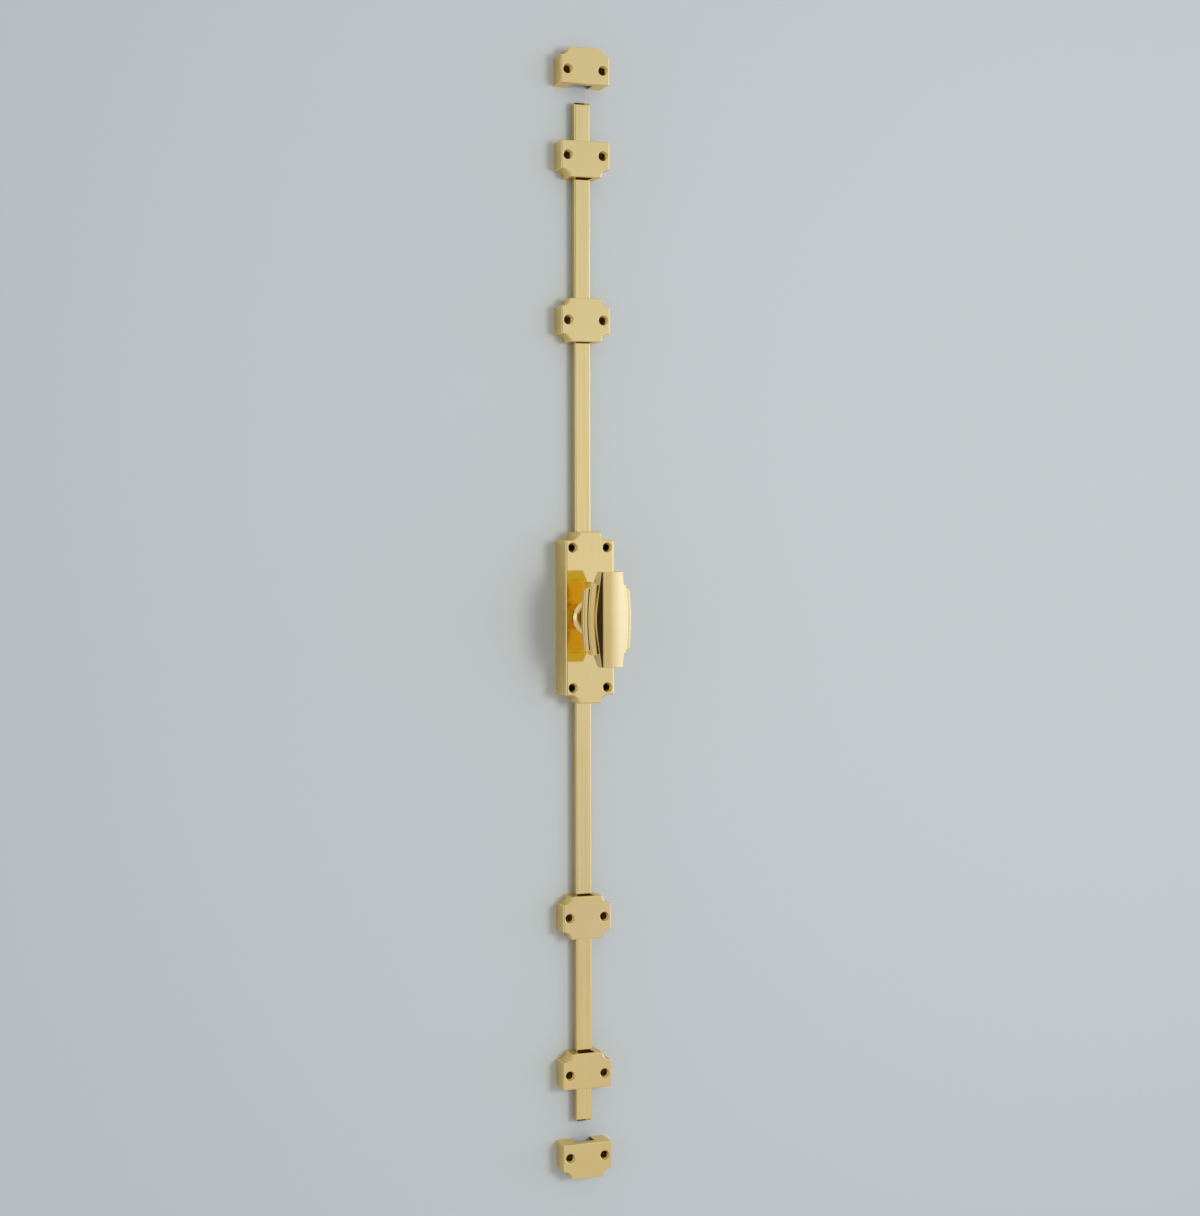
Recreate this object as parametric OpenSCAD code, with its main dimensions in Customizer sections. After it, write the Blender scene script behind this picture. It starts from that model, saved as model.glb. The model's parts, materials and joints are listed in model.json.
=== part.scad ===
// Surface-mounted cremone bolt: a stepped knob turns a pinion in a gearbox, and the pinion drives two
// racks that push one rod up and one rod down into keeps. Every depth is measured from the door face,
// which is the plane y = 0; the front of the bolt faces -Y and the spindle axis is the Y axis.

/* [Gearbox case] */
// Thickness of the case side walls
side_wall = 5.95; // [5.45:0.05:8]
// Thickness of the case front wall
front_wall = 3.9; // [3:0.1:6]
// Thickness of the backplate
back_t = 1.6; // [1.2:0.1:3]
// Width of the tab left between the coves at each end of the case
case_tab_w = 18.2; // [16:0.2:21]
// Radius of the coves at the four corners of the case
case_cove_r = 6.5; // [4:0.5:7]
// Wall between the cavity and a fixing hole of the case
corner_wall = 4.5; // [2.5:0.05:6]
// Distance from a fixing hole to the end of the case
case_hole_end = 12.3; // [11:0.1:16]
// Least thickness of the case ends, where the rods come out
end_wall = 5; // [3:0.25:8]
// Distance from a fixing hole to the side of the case
case_hole_side = 5.7; // [5.2:0.1:7]

/* [Guides and keeps] */
// Width of the guides and keeps
guide_w = 40; // [36:0.5:48]
// Height of the two guides nearer the gearbox
mid_guide_h = 33.5; // [28:0.5:44]
// Height of the two guides nearer the rod tips
end_guide_h = 27.8; // [24:0.2:36]
// Height of the keeps
keep_h = 27.8; // [25:0.2:36]
// Width of the tab left between the coves of a guide or keep
guide_tab_w = 26; // [22:0.5:27]
// Radius of the coves of a guide or keep
guide_cove_r = 6; // [4:0.25:6.5]
// Thickness of the roof over the channel of a guide or keep
guide_roof = 5.2; // [3.5:0.1:7]
// Distance from a fixing hole to the side of a guide or keep
guide_hole_side = 5.5; // [5:0.1:6.5]
// Distance from the fixing holes to the straight edge of an end guide or keep
guide_hole_edge = 11; // [9:0.1:13]
// Depth of a keep's socket along the rod
keep_socket = 21; // [18:0.5:24]
// Room beside a rod in a keep
keep_side_room = 1.6; // [0.8:0.1:2]

/* [Places along the door] */
// Height of the centre of the upper mid guide above the spindle
upper_mid_z = 229.7; // [150:0.1:280]
// Distance of the centre of the lower mid guide below the spindle
lower_mid_z = 234.3; // [150:0.1:280]
// Height of the outer edge of the upper end guide
upper_end_z = 367; // [330:0.1:385]
// Distance of the outer edge of the lower end guide below the spindle
lower_end_z = 368.8; // [320:0.1:385]
// Length of the upper rod that shows beyond its end guide, drawn back
upper_tip_show = 29.3; // [15:0.1:60]
// Length of the lower rod that shows beyond its end guide, drawn back
lower_tip_show = 26.4; // [15:0.1:60]
// Gap between the upper rod, drawn back, and its keep
upper_keep_gap = 14; // [8:0.1:18]
// Gap between the lower rod, drawn back, and its keep
lower_keep_gap = 16.6; // [8:0.1:18]

/* [Rods] */
// Width of the rods
rod_w = 12.7; // [10:0.1:14]
// Thickness of the rods
rod_t = 7.2; // [6:0.1:10]
// Bevel along the long edges of the rods
rod_bevel = 0.6; // [0.3:0.1:1.2]

/* [Fixing holes] */
// Clearance hole for a No. 8 screw
screw_hole_d = 4.8; // [4:0.1:5.4]
// Countersink for the head of a No. 8 screw
countersink_d = 8.4; // [7.6:0.1:9]

/* [Knob] */
// Length of the grip
grip_len = 72.2; // [60:0.2:84]
// Width of the grip's barrel at its middle
barrel_w = 24.3; // [21:0.1:28]
// Width of the grip's barrel at its ends
barrel_end_w = 17.3; // [14:0.1:20]
// Radius of the crowned front of the barrel
crown_r = 26; // [18:0.5:40]
// Length of the inner step
inner_step_len = 54.4; // [50:0.2:60]
// Length of the outer step
outer_step_len = 48.2; // [42:0.2:50]
// Width of each step at each side of the grip
step_w = 3.7; // [2.5:0.1:5]
// Thickness of the outer step
outer_step_t = 4.8; // [4:0.1:7]
// Rise from the outer step to the inner step
step_rise = 2.75; // [2:0.05:4]
// Rise from the inner step to the crown of the barrel
barrel_rise = 6.95; // [6:0.05:10]
// Thickness taken off the back of the grip at its ends
tail_bevel = 4.75; // [3:0.05:6]
// Finger room between the case and the back of the grip
finger_room = 29.3; // [25:0.1:36]

/* [Neck and collar] */
// Radius of the collar round the neck
collar_r = 14.4; // [13.5:0.1:17]
// Height of the collar above the case
collar_h = 3; // [2:0.1:4]
// Wall of the collar's spigot in the case
collar_wall = 2.4; // [1.6:0.1:3]
// Radius of the neck where it turns in the collar
journal_r = 9.4; // [8:0.1:10]
// Length of the journal that shows above the collar
journal_show = 0.4; // [0.2:0.1:1]
// Distance from the journal to the waist of the neck
waist_run = 9; // [6:0.5:12]
// Radius of the neck at its waist
waist_r = 7.6; // [7.2:0.1:8]
// Radius of the neck where it meets the grip
neck_flare_r = 10; // [9:0.1:12]
// Radius of the spigot that holds the neck in the grip
spigot_r = 7; // [6:0.1:8]
// Length of that spigot
spigot_len = 5.5; // [4:0.1:6.5]
// Wall between the end of the spindle and the grip
socket_floor = 5; // [3:0.5:8]
// Radius of the grub screw
grub_r = 2; // [1.5:0.1:2.5]

/* [Drive] */
// Module of the pinion and racks
gear_module = 1; // [0.9:0.05:1.2]
// Teeth on the pinion
pinion_teeth = 18; // [18:2:22]
// Turn of the knob from open to locked
knob_turn = 180; // [150:10:180]
// Width of the pinion's face
gear_t = 8.8; // [7:0.1:12]
// Thickness of a rack behind its teeth
rack_back_t = 3.55; // [3:0.05:5]
// Thickness of the arm that joins a rack to its rod
arm_t = 6; // [4.5:0.1:7]
// Length of the arm's lap on the rod
arm_lap = 15; // [13:0.5:20]
// Height of the web between a rack and its arm
arm_web = 6; // [4:0.5:9]
// Room between the pinion and the arms
arm_room = 2.5; // [1:0.1:4]
// Side of the square spindle
spindle_a = 8; // [7:0.1:8.4]
// Radius of the pinion's hub
hub_r = 7.2; // [6.8:0.1:7.5]
// Wall of the bush behind the pinion
bush_wall = 2.75; // [2:0.05:3.5]
// Length of the bush behind the pinion
bush_len = 4.8; // [3:0.1:6]
// Thickness of the thrust washer
washer_t = 0.4; // [0.3:0.05:0.8]

/* [Small screws] */
// Radius of the small machine screws
small_screw_r = 1.5; // [1.2:0.1:1.6]
// Radius of their countersunk heads
small_head_r = 2.8; // [2.5:0.1:2.9]
// Length of the backplate's screws
back_screw_len = 8; // [6:0.5:12]
// Depth drilled beyond the point of a screw
drill_room = 1; // [0.5:0.1:2]

/* [Clearances] */
// Gap on each side of a rod in a guide and at the case ends
rod_side_gap = 0.35; // [0.2:0.05:0.6]
// Gap between a rod and the face behind it
rod_back_gap = 0.3; // [0.2:0.05:0.6]
// Gap between a rod and the roof of a guide or keep
rod_roof_gap = 1.5; // [0.4:0.1:2]
// Radial gap of the turning fits
turn_fit = 0.05; // [0.02:0.01:0.09]
// Gap round pieces that are fixed together
seat_gap = 0.04; // [0.02:0.01:0.08]
// Thinning of each tooth flank, so that the gears turn freely
flank_gap = 0.1; // [0.06:0.01:0.16]
// Gap between the sliding and turning pieces inside the case
inner_gap = 0.5; // [0.3:0.05:0.8]

/* [Hidden] */
$fn = 96;

BRASS = "#d9b65c";
BRONZE = "#b98a4a";
STEEL = "#a7abb0";
eps = 0.01;

// Depths from the door, back to front
rod_back = back_t + rod_back_gap;
rod_front = rod_back + rod_t;
gear_back = rod_front + inner_gap;
gear_front = gear_back + gear_t;
washer_back = gear_front + 0.2 * inner_gap;
washer_front = washer_back + washer_t;
case_inner = washer_front + 0.2 * inner_gap;
case_d = case_inner + front_wall;
roof_depth = rod_front + rod_roof_gap;
guide_d = roof_depth + guide_roof;
grip_back = case_d + finger_room;
outer_front = grip_back + outer_step_t;
inner_front = outer_front + step_rise;
crown_depth = inner_front + barrel_rise;
collar_front = case_d + collar_h;

// Gears
pitch_r = gear_module * pinion_teeth / 2;
addendum = gear_module;
dedendum = 1.25 * gear_module;
tip_r = pitch_r + addendum;
root_r = pitch_r - dedendum;
pressure_angle = 20;
base_r = pitch_r * cos(pressure_angle);
tooth_pitch = PI * gear_module;
throw = pitch_r * knob_turn * PI / 180;

// Racks and the arms that carry the rods
arm_bottom = tip_r + arm_room;
arm_top = arm_bottom + arm_lap;
arm_side = pitch_r + inner_gap;
arm_reach = pitch_r - addendum - 3 * inner_gap;
rack_top = arm_bottom + arm_web;
rack_teeth_up = 1;
rack_teeth_down = ceil(throw / tooth_pitch - 0.01) + 2;
rack_bottom = -(rack_teeth_down + 0.05) * tooth_pitch;
rack_face = pitch_r + dedendum;
rack_back = rack_face + rack_back_t;
lap_screw_edge = small_head_r + 1;
lap_screw_point = rod_front - 0.6 * rod_t;
lap_screw_z = [arm_bottom + lap_screw_edge, arm_top - lap_screw_edge];

// Case outline and cavity
cavity_half_w = rack_back + 0.5 * inner_gap;
case_w = 2 * (cavity_half_w + side_wall);
wide_half_h = max(rack_top + throw, -rack_bottom) + inner_gap;
narrow_half_h = arm_top + throw + inner_gap;
narrow_half_w = arm_side + inner_gap;
case_hole_z = wide_half_h + screw_hole_d / 2 + corner_wall;
case_hole_x = case_w / 2 - case_hole_side;
case_h = 2 * max(case_hole_z + case_hole_end, narrow_half_h + end_wall);
back_screw_x = (cavity_half_w + case_w / 2) / 2;
back_screw_z = 0.6 * wide_half_h;

// Guides and keeps
channel_w = rod_w + 2 * rod_side_gap;
socket_w = rod_w + 2 * keep_side_room;
guide_hole_x = guide_w / 2 - guide_hole_side;
upper_tip_z = upper_end_z + upper_tip_show;
lower_tip_z = lower_end_z + lower_tip_show;
upper_keep_z = upper_tip_z + upper_keep_gap;
lower_keep_z = lower_tip_z + lower_keep_gap;

// Neck and collar
collar_spigot_r = journal_r + turn_fit + collar_wall;
neck_start = case_inner;
journal_end = collar_front + journal_show;
waist_depth = journal_end + waist_run;
socket_end = grip_back - socket_floor;
grub_depth = waist_depth;
hub_end = back_t + 0.8 * inner_gap;
square_fit = spindle_a + 2 * turn_fit;

// A flat shape in x and z, standing between two depths from the door
module plate(from, to) {
    translate([0, -from, 0])
        rotate([90, 0, 0])
            linear_extrude(to - from)
                children();
}

// A round bar or hole along y between two depths
module rod_y(x, z, r, from, to) {
    translate([x, -from, z])
        rotate([90, 0, 0])
            cylinder(r = r, h = to - from);
}

// A cone along y between two depths
module cone_y(x, z, r_from, r_to, from, to) {
    translate([x, -from, z])
        rotate([90, 0, 0])
            cylinder(r1 = r_from, r2 = r_to, h = to - from);
}

// A turned shape about y: the profile's points are radius and depth
module turned(profile) {
    rotate([90, 0, 0])
        rotate_extrude()
            polygon(profile);
}

// A fixing hole with its countersink at the front face
module fixing_hole(x, z, front) {
    sink = (countersink_d - screw_hole_d) / 2;
    rod_y(x, z, screw_hole_d / 2, -1, front + 1);
    cone_y(x, z, screw_hole_d / 2, countersink_d / 2 + 1, front - sink, front + 1);
}

// One coved corner taken off a plate, with a flat shoulder beside the cove
module coved_corner(w, h, tab_w, cove_r) {
    cove_x = tab_w / 2 + cove_r;
    translate([cove_x, h / 2])
        circle(r = cove_r);
    translate([cove_x, h / 2 - cove_r])
        square([w, 2 * cove_r]);
}

// A rectangle whose corners at the given ends, 1 above and -1 below, are coved
module coved_outline(w, h, tab_w, cove_r, ends) {
    difference() {
        square([w, h], center = true);
        for (end = ends, side = [-1, 1])
            mirror([side < 0 ? 1 : 0, 0])
                mirror([0, end < 0 ? 1 : 0])
                    coved_corner(w, h, tab_w, cove_r);
    }
}

module case_outline() {
    coved_outline(case_w, case_h, case_tab_w, case_cove_r, [-1, 1]);
}

// Half turn about the spindle, from the upper drive to the lower one
module for_lower() {
    rotate([0, 180, 0])
        children();
}

// Gearbox

module gearbox_case() {
    color(BRASS)
    difference() {
        plate(back_t, case_d) case_outline();
        plate(back_t - 1, case_inner) square([2 * cavity_half_w, 2 * wide_half_h], center = true);
        plate(back_t - 1, case_inner) square([2 * narrow_half_w, 2 * narrow_half_h], center = true);
        plate(back_t - 1, rod_front + rod_side_gap) square([channel_w, case_h + 2], center = true);
        rod_y(0, 0, collar_spigot_r + seat_gap, case_inner - 1, case_d + 1);
        for (sx = [-1, 1], sz = [-1, 1]) {
            fixing_hole(sx * case_hole_x, sz * case_hole_z, case_d);
            rod_y(sx * back_screw_x, sz * back_screw_z, small_screw_r + seat_gap,
                  back_t - 1, back_screw_len + drill_room);
        }
    }
}

module gearbox_backplate() {
    color(BRASS)
    difference() {
        plate(0, back_t) case_outline();
        for (sx = [-1, 1], sz = [-1, 1]) {
            rod_y(sx * case_hole_x, sz * case_hole_z, screw_hole_d / 2, -1, back_t + 1);
            small_screw_hole(sx * back_screw_x, sz * back_screw_z);
        }
    }
}

module small_screw_hole(x, z) {
    sink = small_head_r - small_screw_r;
    rod_y(x, z, small_screw_r + seat_gap, -1, back_t + 1);
    cone_y(x, z, small_head_r + seat_gap + 1, small_screw_r + seat_gap, -1, sink);
}

// A countersunk screw with its head at the first depth and its point at the second
module small_screw(x, z, head, point) {
    way = sign(point - head);
    sink = small_head_r - small_screw_r;
    recess = 0.45 * small_screw_r;
    translate([x, -head, z])
        rotate([way * 90, 0, 0])
            difference() {
                union() {
                    cylinder(r1 = small_head_r, r2 = small_screw_r, h = sink);
                    cylinder(r = small_screw_r, h = abs(point - head));
                }
                for (turn = [0, 90])
                    rotate([0, 0, turn])
                        cube([2.4 * small_screw_r, recess, 2 * recess], center = true);
            }
}

module backplate_screws() {
    color(STEEL)
    for (sx = [-1, 1], sz = [-1, 1])
        small_screw(sx * back_screw_x, sz * back_screw_z, 0, back_screw_len);
}

// Beaded ring on the case front, with the spigot that carries the neck
module spindle_collar() {
    bead_r = collar_h / 2;
    color(BRASS)
    difference() {
        union() {
            rod_y(0, 0, collar_spigot_r, case_inner, case_d + eps);
            rod_y(0, 0, collar_r - bead_r, case_d, collar_front);
            translate([0, -case_d - bead_r, 0])
                rotate([90, 0, 0])
                    rotate_extrude()
                        translate([collar_r - bead_r, 0])
                            circle(r = bead_r);
        }
        rod_y(0, 0, journal_r + turn_fit, case_inner - 1, collar_front + 1);
    }
}

module rear_bush() {
    color(BRONZE)
    difference() {
        rod_y(0, 0, hub_r + bush_wall, back_t, back_t + bush_len);
        rod_y(0, 0, hub_r + turn_fit, back_t - 1, back_t + bush_len + 1);
    }
}

// Guides and keeps

module guide(h, hole_z, ends) {
    color(BRASS)
    difference() {
        plate(0, guide_d) coved_outline(guide_w, h, guide_tab_w, guide_cove_r, ends);
        plate(-1, roof_depth) square([channel_w, h + 2], center = true);
        for (side = [-1, 1])
            fixing_hole(side * guide_hole_x, hole_z, guide_d);
    }
}

module mid_guide() {
    guide(mid_guide_h, 0, [-1, 1]);
}

// Guide at a rod's outer end, straight edge outward
module end_guide() {
    guide(end_guide_h, end_guide_h / 2 - guide_hole_edge, [-1]);
}

// Keep above a rod's tip: its straight edge has the socket's mouth
module keep() {
    color(BRASS)
    difference() {
        plate(0, guide_d) coved_outline(guide_w, keep_h, guide_tab_w, guide_cove_r, [1]);
        translate([0, 0, (keep_socket - keep_h) / 2 - 0.5])
            plate(-1, roof_depth) square([socket_w, keep_socket + 1], center = true);
        for (side = [-1, 1])
            fixing_hole(side * guide_hole_x, guide_hole_edge - keep_h / 2, guide_d);
    }
}

module upper_mid_guide() {
    translate([0, 0, upper_mid_z]) mid_guide();
}

module lower_mid_guide() {
    for_lower() translate([0, 0, lower_mid_z]) mid_guide();
}

module upper_end_guide() {
    translate([0, 0, upper_end_z - end_guide_h / 2]) end_guide();
}

module lower_end_guide() {
    for_lower() translate([0, 0, lower_end_z - end_guide_h / 2]) end_guide();
}

module upper_keep() {
    translate([0, 0, upper_keep_z + keep_h / 2]) keep();
}

module lower_keep() {
    for_lower() translate([0, 0, lower_keep_z + keep_h / 2]) keep();
}

// Knob and spindle

// A shape with two bowed sides and straight ends; bow_r is the radius of the sides
module bowed_outline(w, len, bow_r) {
    intersection() {
        square([w, len], center = true);
        translate([bow_r - w / 2, 0]) circle(r = bow_r, $fn = 360);
        translate([w / 2 - bow_r, 0]) circle(r = bow_r, $fn = 360);
    }
}

bow = (barrel_w - barrel_end_w) / 2;
bow_r = (pow(grip_len / 2, 2) + pow(bow, 2)) / (2 * bow);

// The wedge taken off the back of the grip at its upper end
module tail_wedge() {
    run = (grip_len - outer_step_len) / 2 - 1;
    translate([-barrel_w, 0, 0])
        rotate([90, 0, 90])
            linear_extrude(2 * barrel_w)
                polygon([
                    [-grip_back - tail_bevel, grip_len / 2],
                    [-grip_back, grip_len / 2 - run],
                    [-grip_back + 1, grip_len / 2 - run],
                    [-grip_back + 1, grip_len / 2 + 1],
                    [-grip_back - tail_bevel, grip_len / 2 + 1]
                ]);
}

module knob_grip() {
    color(BRASS)
    difference() {
        union() {
            difference() {
                intersection() {
                    plate(grip_back, crown_depth + 1) bowed_outline(barrel_w, grip_len, bow_r);
                    translate([0, crown_r - crown_depth, -grip_len])
                        cylinder(r = crown_r, h = 2 * grip_len);
                }
                tail_wedge();
                mirror([0, 0, 1]) tail_wedge();
            }
            plate(grip_back, inner_front) bowed_outline(barrel_w + 2 * step_w, inner_step_len, bow_r);
            plate(grip_back, outer_front) bowed_outline(barrel_w + 4 * step_w, outer_step_len, bow_r);
        }
        rod_y(0, 0, spigot_r + seat_gap, grip_back - 1, grip_back + spigot_len + seat_gap);
    }
}

// Radius of the neck between the journal and the grip: a waist with parabolic flares
function neck_radius(d) =
    d < waist_depth
    ? waist_r + (journal_r - 0.8 - waist_r) * pow((waist_depth - d) / (waist_depth - journal_end), 2)
    : waist_r + (neck_flare_r - waist_r) * pow((d - waist_depth) / (grip_back - waist_depth), 2);

module knob_neck() {
    neck_steps = 14;
    neck_points = [
        for (i = [0 : neck_steps])
            let (d = journal_end + (grip_back - journal_end) * i / neck_steps)
                [neck_radius(d), d]
    ];
    color(BRASS)
    difference() {
        turned(concat(
            [[0, neck_start], [journal_r, neck_start], [journal_r, journal_end]],
            neck_points,
            [[spigot_r, grip_back], [spigot_r, grip_back + spigot_len], [0, grip_back + spigot_len]]
        ));
        plate(neck_start - 1, socket_end) square(square_fit, center = true);
        translate([0, -grub_depth, -2 * waist_r])
            cylinder(r = grub_r + seat_gap, h = 2 * waist_r);
    }
}

// Grub screw under the neck, bearing on the spindle
module knob_grub_screw() {
    grub_len = waist_r - spindle_a / 2 - 0.3;
    color(STEEL)
    translate([0, -grub_depth, -spindle_a / 2 - grub_len])
        difference() {
            cylinder(r = grub_r, h = grub_len);
            translate([0, 0, -1])
                cylinder(r = 0.55 * grub_r, h = 1 + 0.5 * grub_len, $fn = 6);
        }
}

module spindle() {
    color(STEEL)
    plate(hub_end, socket_end - 0.5) square(spindle_a, center = true);
}

// Half of the angle that a pinion tooth takes up at radius r
function involute(a) = tan(a) * 180 / PI - a;
function tooth_half_angle(r) =
    90 / pinion_teeth - flank_gap / pitch_r * 180 / PI + involute(pressure_angle)
    - (r > base_r ? involute(acos(base_r / r)) : 0);

module pinion_outline() {
    flank_steps = 6;
    flank = concat(
        [root_r],
        [for (i = [0 : flank_steps]) base_r + (tip_r - base_r) * i / flank_steps]
    );
    last = len(flank) - 1;
    polygon([
        for (tooth = [0 : pinion_teeth - 1])
            let (mid = tooth * 360 / pinion_teeth)
                each concat(
                    [for (i = [0 : last]) let (a = mid - tooth_half_angle(flank[i]))
                        [flank[i] * cos(a), flank[i] * sin(a)]],
                    [for (i = [last : -1 : 0]) let (a = mid + tooth_half_angle(flank[i]))
                        [flank[i] * cos(a), flank[i] * sin(a)]]
                )
    ]);
}

module pinion() {
    color(STEEL)
    difference() {
        union() {
            plate(gear_back, gear_front) pinion_outline();
            rod_y(0, 0, hub_r, hub_end, gear_back + 1);
        }
        plate(hub_end - 1, gear_front + 1) square(square_fit, center = true);
    }
}

module thrust_washer() {
    color(BRONZE)
    difference() {
        rod_y(0, 0, tip_r + 1.5, washer_back, washer_front);
        rod_y(0, 0, 0.75 * spindle_a, washer_back - 1, washer_front + 1);
    }
}

// Rods and racks

// Cross-section of a rod in x and depth, front edges bevelled
module rod_section() {
    half = rod_w / 2;
    translate([0, -rod_front])
        polygon([
            [-half, rod_bevel], [-half + rod_bevel, 0], [half - rod_bevel, 0], [half, rod_bevel],
            [half, rod_t - rod_bevel], [half - rod_bevel, rod_t],
            [-half + rod_bevel, rod_t], [-half, rod_t - rod_bevel]
        ]);
}

// A rod that points up, from its rack's arm to its tip
module bolt_rod(tip) {
    color(BRASS)
    difference() {
        translate([0, 0, arm_bottom])
            linear_extrude(tip - arm_bottom)
                rod_section();
        for (z = lap_screw_z)
            rod_y(0, z, small_screw_r + seat_gap, lap_screw_point - drill_room, rod_front + 1);
    }
}

// Teeth of the rack at the left of the pinion, as an outline in x and z
module rack_outline() {
    half_tip = tooth_pitch / 4 - addendum * tan(pressure_angle) - flank_gap;
    half_root = tooth_pitch / 4 + dedendum * tan(pressure_angle) - flank_gap;
    translate([-rack_back, rack_bottom])
        square([rack_back_t, rack_top - rack_bottom]);
    for (k = [-rack_teeth_down + 1 : rack_teeth_up])
        translate([0, (k - 0.5) * tooth_pitch])
            polygon([
                [-rack_face - eps, -half_root], [-pitch_r + addendum, -half_tip],
                [-pitch_r + addendum, half_tip], [-rack_face - eps, half_root]
            ]);
}

// Rack at the left of the pinion with the arm that laps over the upper rod
module rack() {
    color(STEEL)
    difference() {
        union() {
            plate(rod_front, gear_front) rack_outline();
            plate(rod_front, rod_front + arm_t) {
                translate([-rack_back, arm_bottom])
                    square([rack_back + arm_reach, rack_top - arm_bottom]);
                translate([-arm_side, arm_bottom])
                    square([arm_side + arm_reach, arm_lap]);
            }
        }
        for (z = lap_screw_z) {
            rod_y(0, z, small_screw_r + seat_gap, rod_front - 1, rod_front + arm_t + 1);
            cone_y(0, z, small_screw_r + seat_gap, small_head_r + seat_gap + 1,
                   rod_front + arm_t - small_head_r + small_screw_r, rod_front + arm_t + 1);
        }
    }
}

module rack_screws() {
    color(STEEL)
    for (z = lap_screw_z)
        small_screw(0, z, rod_front + arm_t, lap_screw_point);
}

module upper_rod() {
    bolt_rod(upper_tip_z);
}

module upper_rack() {
    rack();
}

module upper_rack_screws() {
    rack_screws();
}

module lower_rod() {
    for_lower() bolt_rod(lower_tip_z);
}

module lower_rack() {
    for_lower() rack();
}

module lower_rack_screws() {
    for_lower() rack_screws();
}

gearbox_case();
gearbox_backplate();
backplate_screws();
spindle_collar();
rear_bush();
upper_mid_guide();
upper_end_guide();
lower_mid_guide();
lower_end_guide();
upper_keep();
lower_keep();
knob_grip();
knob_neck();
knob_grub_screw();
spindle();
pinion();
thrust_washer();
upper_rod();
upper_rack();
upper_rack_screws();
lower_rod();
lower_rack();
lower_rack_screws();
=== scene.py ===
"""Cremone bolt in polished brass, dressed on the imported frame.

Each piece is made of patches worked out as whole arrays: an edge profile carried along an outline, a
profile turned about an axis, a section carried along the grip, or a flat face with holes. A patch gives its
points and normals as u (across), v (along the door) and w (depth from the door), in metres. A rod's patches
run up the door, so theirs are u, w and v.
"""
import json

import bpy
import numpy as np
from mathutils import Matrix, Vector
from mathutils.geometry import delaunay_2d_cdt

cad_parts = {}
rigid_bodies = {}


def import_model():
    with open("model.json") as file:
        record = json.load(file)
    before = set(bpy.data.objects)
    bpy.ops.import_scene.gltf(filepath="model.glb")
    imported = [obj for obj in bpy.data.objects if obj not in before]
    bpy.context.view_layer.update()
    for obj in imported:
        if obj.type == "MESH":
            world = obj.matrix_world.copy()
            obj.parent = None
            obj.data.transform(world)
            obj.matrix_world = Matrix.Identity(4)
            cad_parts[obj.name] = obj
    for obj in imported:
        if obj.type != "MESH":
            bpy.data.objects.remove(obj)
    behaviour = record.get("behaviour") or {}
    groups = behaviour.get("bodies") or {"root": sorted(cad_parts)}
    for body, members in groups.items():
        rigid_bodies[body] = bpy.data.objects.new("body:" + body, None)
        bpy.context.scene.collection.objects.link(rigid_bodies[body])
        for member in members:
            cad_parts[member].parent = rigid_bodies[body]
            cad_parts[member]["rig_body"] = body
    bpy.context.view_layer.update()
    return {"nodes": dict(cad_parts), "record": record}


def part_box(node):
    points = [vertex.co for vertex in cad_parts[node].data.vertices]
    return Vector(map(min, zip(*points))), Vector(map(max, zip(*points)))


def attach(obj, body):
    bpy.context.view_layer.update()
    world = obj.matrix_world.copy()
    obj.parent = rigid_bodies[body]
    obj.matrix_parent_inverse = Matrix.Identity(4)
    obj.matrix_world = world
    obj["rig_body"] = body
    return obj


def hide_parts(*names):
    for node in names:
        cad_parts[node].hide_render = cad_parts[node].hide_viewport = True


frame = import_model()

MM = 0.001
MOUNTS = {mount["name"]: mount for mount in frame["record"]["mounts"]}

# Softened edges: the front edge of a piece, and the corners of its outline, which are a little larger
CASE_EDGE = 1.3 * MM
GUIDE_EDGE = 0.9 * MM
ROD_EDGE = 0.85 * MM
TIP_EDGE = 0.3 * MM
BACK_EDGE = 0.25 * MM
PLATE_EDGE = 0.08 * MM
CORNER_EXTRA = 0.05 * MM

# Outlines
CASE_HALF_TAB = 9.1 * MM
CASE_COVE = 6.5 * MM
GUIDE_HALF_TAB = 13.0 * MM
GUIDE_COVE = 6.0 * MM

# Grooves for the rods, and how far the keeps' run in
GUIDE_GROOVE = 6.7 * MM
KEEP_GROOVE = 7.95 * MM
GUIDE_ROOF = 14.2 * MM
KEEP_ROOF = 10.6 * MM
CASE_ROOF = 9.45 * MM
KEEP_REACH = 21.0 * MM

# Cavity of the case: a room for the racks and a longer, narrower one for the arms that carry the rods
CASE_INNER = 19.0 * MM
RACK_HALF_W = 14.06 * MM
RACK_HALF_H = 47.27 * MM
ARM_HALF_W = 10.0 * MM
ARM_HALF_H = 56.27 * MM

# Lead-in at the tips of the rods: its length, its slope in degrees, the radius that leads into the slope, and
# how far it reaches past the CAD solid
LEAD_RUN = 2.3 * MM
LEAD_SLOPE = 45
LEAD_R = 1.2 * MM
LEAD_PAST = 1.3 * MM

# Fixing holes and the small screws of the backplate; the rounded rim of a fixing hole's countersink leaves
# the flat face at RIM_R
HOLE_R = MOUNTS["gearbox_screws"]["dims"]["hole_r_mm"] * MM
SINK_R = 3.95 * MM
SINK_SLOPE = 45
RIM_ROUND = 0.8 * MM
RIM_R = SINK_R + RIM_ROUND * np.tan(np.radians(SINK_SLOPE / 2))
SMALL_HOLE_R = 1.54 * MM
SMALL_SINK_R = 2.84 * MM
SMALL_X = 17.03 * MM
SMALL_Z = 28.36 * MM

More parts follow.
